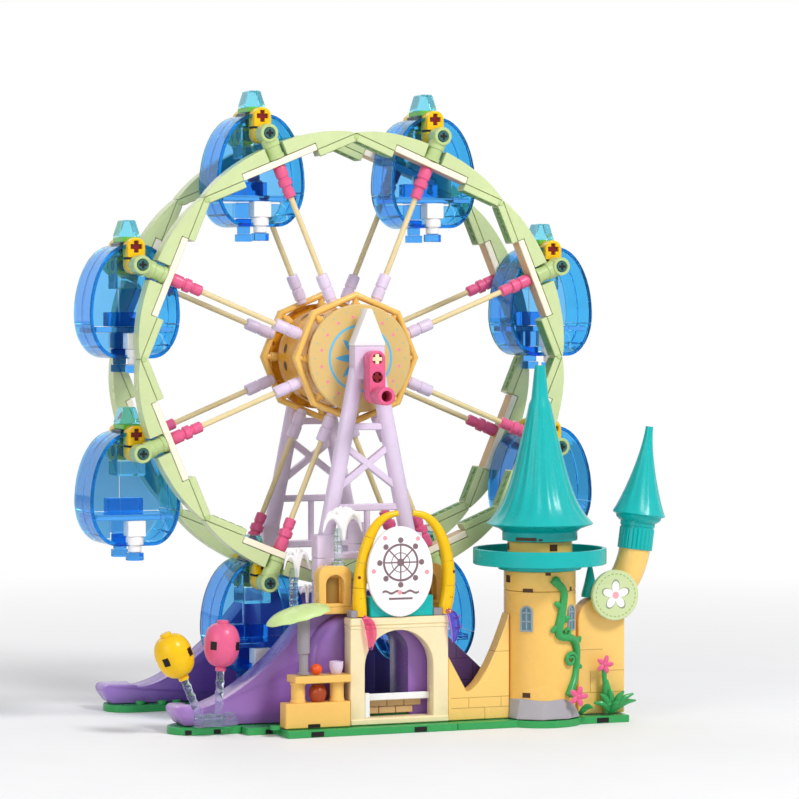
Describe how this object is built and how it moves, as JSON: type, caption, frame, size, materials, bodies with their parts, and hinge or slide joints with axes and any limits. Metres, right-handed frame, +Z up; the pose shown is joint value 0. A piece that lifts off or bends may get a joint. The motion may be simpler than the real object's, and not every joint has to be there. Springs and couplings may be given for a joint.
{
  "type": "building block ferris wheel",
  "caption": "Hand-cranked building block ferris wheel with swinging clear gondolas, trestle stands, arched gate and a castle tower.",
  "frame": {"origin": "on the underside of the base plate, straight below the middle of the wheel's axle", "axes": "+Z up, +Y to the back along the wheel's axle, +X to the right, from the gate towards the castle tower"},
  "size_m": [0.2549, 0.1546, 0.28],
  "materials": {
    "light_green": "glossy moulded plastic",
    "leaf_green": "glossy moulded plastic",
    "gold": "glossy moulded plastic",
    "cream": "glossy moulded plastic",
    "yellow": "glossy moulded plastic",
    "pink": "glossy moulded plastic",
    "lavender": "glossy moulded plastic",
    "purple": "glossy moulded plastic",
    "teal": "glossy moulded plastic",
    "white": "glossy moulded plastic",
    "clear_blue": "clear tinted plastic"
  },
  "bodies": {
    "base": {"base_plate": "leaf_green", "mound_front": "purple", "mound_rear": "purple", "stand_front": "lavender", "stand_rear": "lavender", "gate": "cream", "sign": "white", "horn_left": "yellow", "horn_right": "yellow", "arch_gallery": "gold", "tower_body": "gold", "balcony": "teal", "tower_roof": "teal", "curved_wall": "gold", "side_tower": "gold", "side_roof": "teal", "booth": "gold", "umbrella": "light_green", "balloon_yellow": "yellow", "balloon_pink": "pink"},
    "wheel": {"ring_front": "light_green", "ring_rear": "light_green", "hub_frame_front": "gold", "hub_frame_rear": "gold", "hub_drum": "gold", "axle": "pink", "crank_arm": "pink", "spoke_front_1": "lavender", "spoke_front_2": "lavender", "spoke_front_3": "lavender", "spoke_front_4": "lavender", "spoke_front_5": "lavender", "spoke_front_6": "lavender", "spoke_front_7": "lavender", "spoke_front_8": "lavender", "spoke_rear_1": "lavender", "spoke_rear_2": "lavender", "spoke_rear_3": "lavender", "spoke_rear_4": "lavender", "spoke_rear_5": "lavender", "spoke_rear_6": "lavender", "spoke_rear_7": "lavender", "spoke_rear_8": "lavender"},
    "handle": {"crank_handle": "pink"},
    "gondola_1": {"gondola_1_shell": "clear_blue", "gondola_1_frame": "yellow"},
    "gondola_2": {"gondola_2_shell": "clear_blue", "gondola_2_frame": "yellow"},
    "gondola_3": {"gondola_3_shell": "clear_blue", "gondola_3_frame": "yellow"},
    "gondola_4": {"gondola_4_shell": "clear_blue", "gondola_4_frame": "yellow"},
    "gondola_5": {"gondola_5_shell": "clear_blue", "gondola_5_frame": "yellow"},
    "gondola_6": {"gondola_6_shell": "clear_blue", "gondola_6_frame": "yellow"},
    "gondola_7": {"gondola_7_shell": "clear_blue", "gondola_7_frame": "yellow"},
    "gondola_8": {"gondola_8_shell": "clear_blue", "gondola_8_frame": "yellow"}
  },
  "joints": [
    {"name": "wheel_spin", "type": "hinge", "parent": "base", "child": "wheel", "pos_m": [0, 0, 0.1624], "axis": [0, 1, 0], "continuous": true},
    {"name": "handle_spin", "type": "hinge", "parent": "wheel", "child": "handle", "pos_m": [0, -0.05, 0.1464], "axis": [0, 1, 0], "continuous": true},
    {"name": "gondola_1_swing", "type": "hinge", "parent": "wheel", "child": "gondola_1", "pos_m": [0.09904, 0, 0.20342], "axis": [0, 1, 0], "continuous": true},
    {"name": "gondola_2_swing", "type": "hinge", "parent": "wheel", "child": "gondola_2", "pos_m": [0.04102, 0, 0.26144], "axis": [0, 1, 0], "continuous": true},
    {"name": "gondola_3_swing", "type": "hinge", "parent": "wheel", "child": "gondola_3", "pos_m": [-0.04102, 0, 0.26144], "axis": [0, 1, 0], "continuous": true},
    {"name": "gondola_4_swing", "type": "hinge", "parent": "wheel", "child": "gondola_4", "pos_m": [-0.09904, 0, 0.20342], "axis": [0, 1, 0], "continuous": true},
    {"name": "gondola_5_swing", "type": "hinge", "parent": "wheel", "child": "gondola_5", "pos_m": [-0.09904, 0, 0.12138], "axis": [0, 1, 0], "continuous": true},
    {"name": "gondola_6_swing", "type": "hinge", "parent": "wheel", "child": "gondola_6", "pos_m": [-0.04102, 0, 0.06336], "axis": [0, 1, 0], "continuous": true},
    {"name": "gondola_7_swing", "type": "hinge", "parent": "wheel", "child": "gondola_7", "pos_m": [0.04102, 0, 0.06336], "axis": [0, 1, 0], "continuous": true},
    {"name": "gondola_8_swing", "type": "hinge", "parent": "wheel", "child": "gondola_8", "pos_m": [0.09904, 0, 0.12138], "axis": [0, 1, 0], "continuous": true}
  ],
  "couplings": [
    {"joint": "gondola_1_swing", "follows": "wheel_spin", "ratio": -1},
    {"joint": "gondola_2_swing", "follows": "wheel_spin", "ratio": -1},
    {"joint": "gondola_3_swing", "follows": "wheel_spin", "ratio": -1},
    {"joint": "gondola_4_swing", "follows": "wheel_spin", "ratio": -1},
    {"joint": "gondola_5_swing", "follows": "wheel_spin", "ratio": -1},
    {"joint": "gondola_6_swing", "follows": "wheel_spin", "ratio": -1},
    {"joint": "gondola_7_swing", "follows": "wheel_spin", "ratio": -1},
    {"joint": "gondola_8_swing", "follows": "wheel_spin", "ratio": -1}
  ]
}
